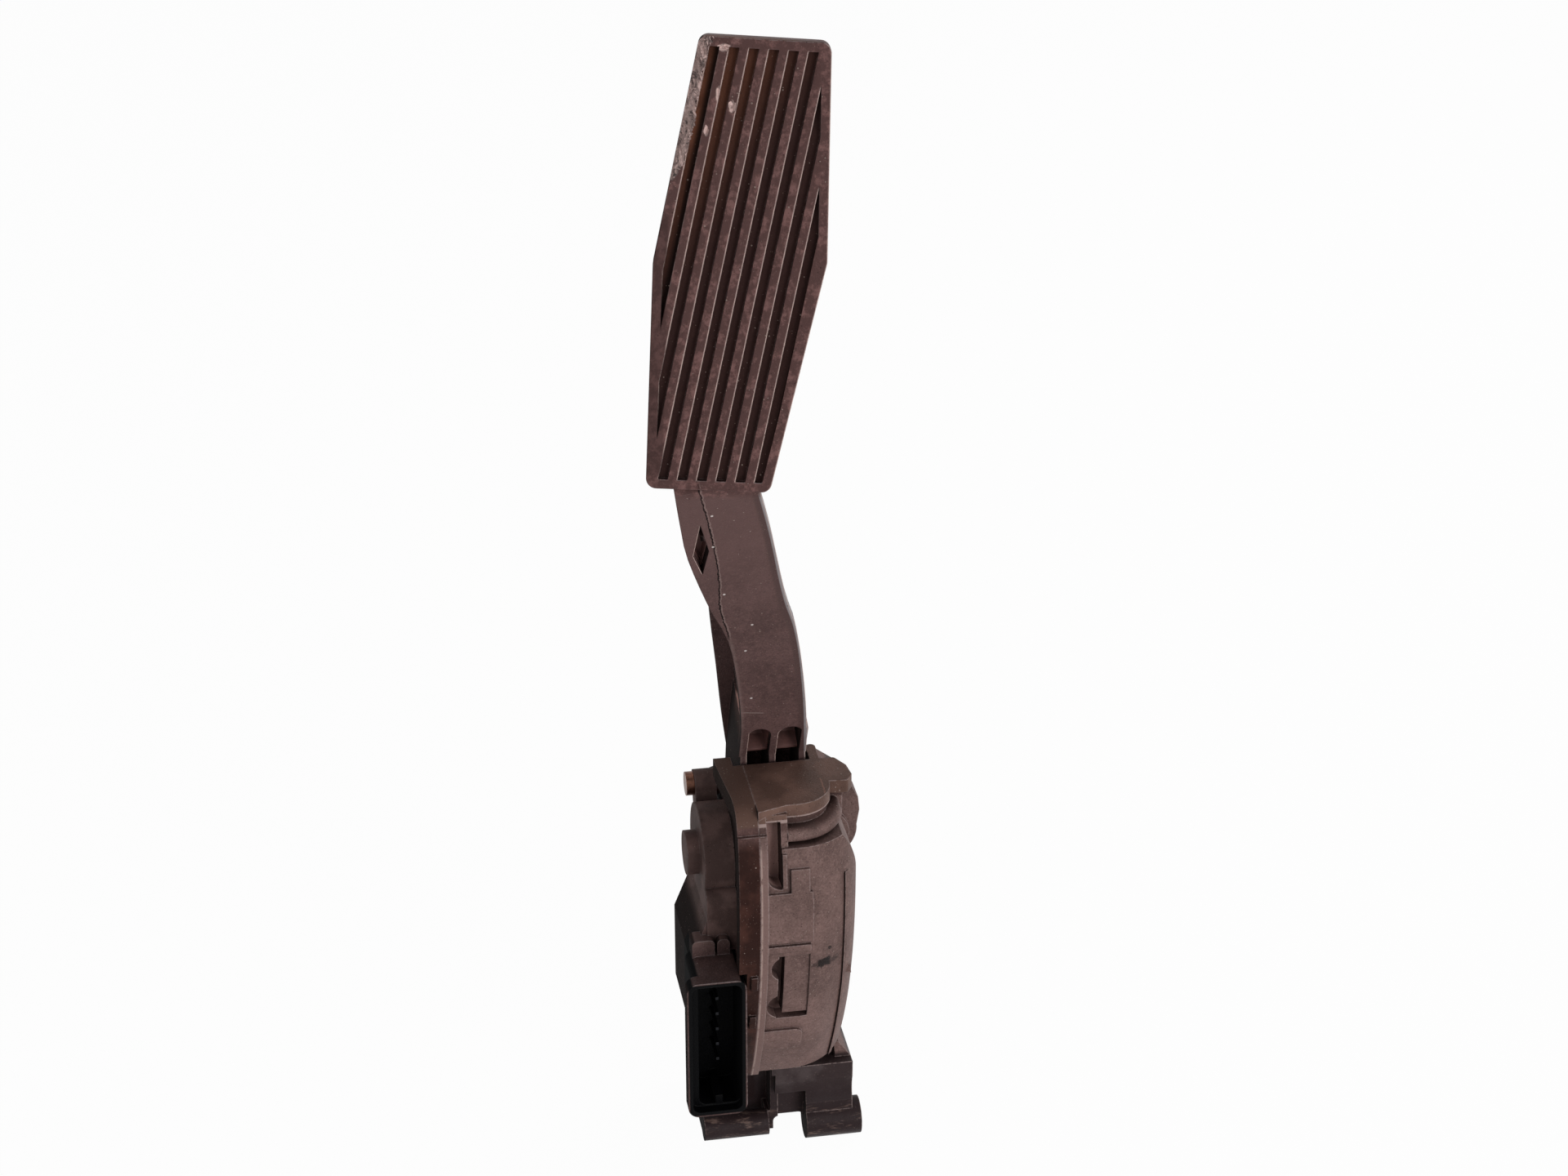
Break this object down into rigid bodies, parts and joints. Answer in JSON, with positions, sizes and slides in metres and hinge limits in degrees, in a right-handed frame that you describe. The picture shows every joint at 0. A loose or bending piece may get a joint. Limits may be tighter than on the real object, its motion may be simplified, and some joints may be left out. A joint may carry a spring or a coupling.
{
  "type": "accelerator pedal module",
  "caption": "Hanging electronic accelerator pedal: ribbed foot pad on a curved arm, sprung and hinged in a two-part moulded housing with an open sensor connector socket.",
  "frame": {"origin": "on the mounting face, straight behind the pivot axis (x = 0 beside the middle of the arm's root)", "axes": "+Z runs from the housing up to the foot pad, as in the picture; +Y from the driver to the bulkhead, normal to the mounting face; +X across the car, away from the connector. In the car the module hangs the other way up, with the pad below the housing."},
  "size_m": [0.067, 0.091, 0.3281],
  "materials": {
    "housing_plastic": "moulded glass-filled plastic, satin, dusty",
    "cover_plastic": "moulded glass-filled plastic, satin",
    "sensor_plastic": "moulded glass-filled plastic, satin",
    "lever_plastic": "moulded glass-filled plastic, satin, worn",
    "seal_rubber": "matt",
    "circuit_board": "solder-masked board",
    "sensor_chip": "moulded package",
    "pin_brass": "tinned",
    "screw_metal": "copper-coloured plating",
    "bush_plastic": "natural acetal",
    "sleeve_steel": "zinc plated",
    "shaft_steel": "ground",
    "seat_plastic": "moulded",
    "lining_plastic": "low-friction plastic",
    "magnet_black": "coated",
    "spring_steel": "oiled"
  },
  "bodies": {
    "housing": {"main_housing": "housing_plastic", "side_cover": "cover_plastic", "sensor_cover": "sensor_plastic", "cover_seal": "seal_rubber", "sensor_board": "circuit_board", "hall_sensor": "sensor_chip", "connector_pins": "pin_brass", "cover_screws": "screw_metal", "left_bush": "bush_plastic", "right_bush": "bush_plastic", "mount_sleeves": "sleeve_steel", "idle_stop_pad": "seal_rubber", "full_stop_pad": "seal_rubber", "front_spring_seat": "seat_plastic", "friction_lining": "lining_plastic"},
    "pedal": {"pedal_lever": "lever_plastic", "pivot_shaft": "shaft_steel", "shaft_clip": "shaft_steel", "sensor_rotor": "bush_plastic", "sensor_magnet": "magnet_black", "tail_spring_seat": "seat_plastic", "friction_shoe": "lining_plastic", "outer_spring": "spring_steel", "inner_spring": "spring_steel"}
  },
  "joints": [
    {"name": "pedal_press", "type": "hinge", "parent": "housing", "child": "pedal", "pos_m": [0, -0.035, 0], "axis": [-1, 0, 0], "range_deg": [0, 15], "stiffness_Nm_per_rad": 11.8, "springref_deg": -16.04, "deforming": ["outer_spring", "inner_spring"]}
  ]
}
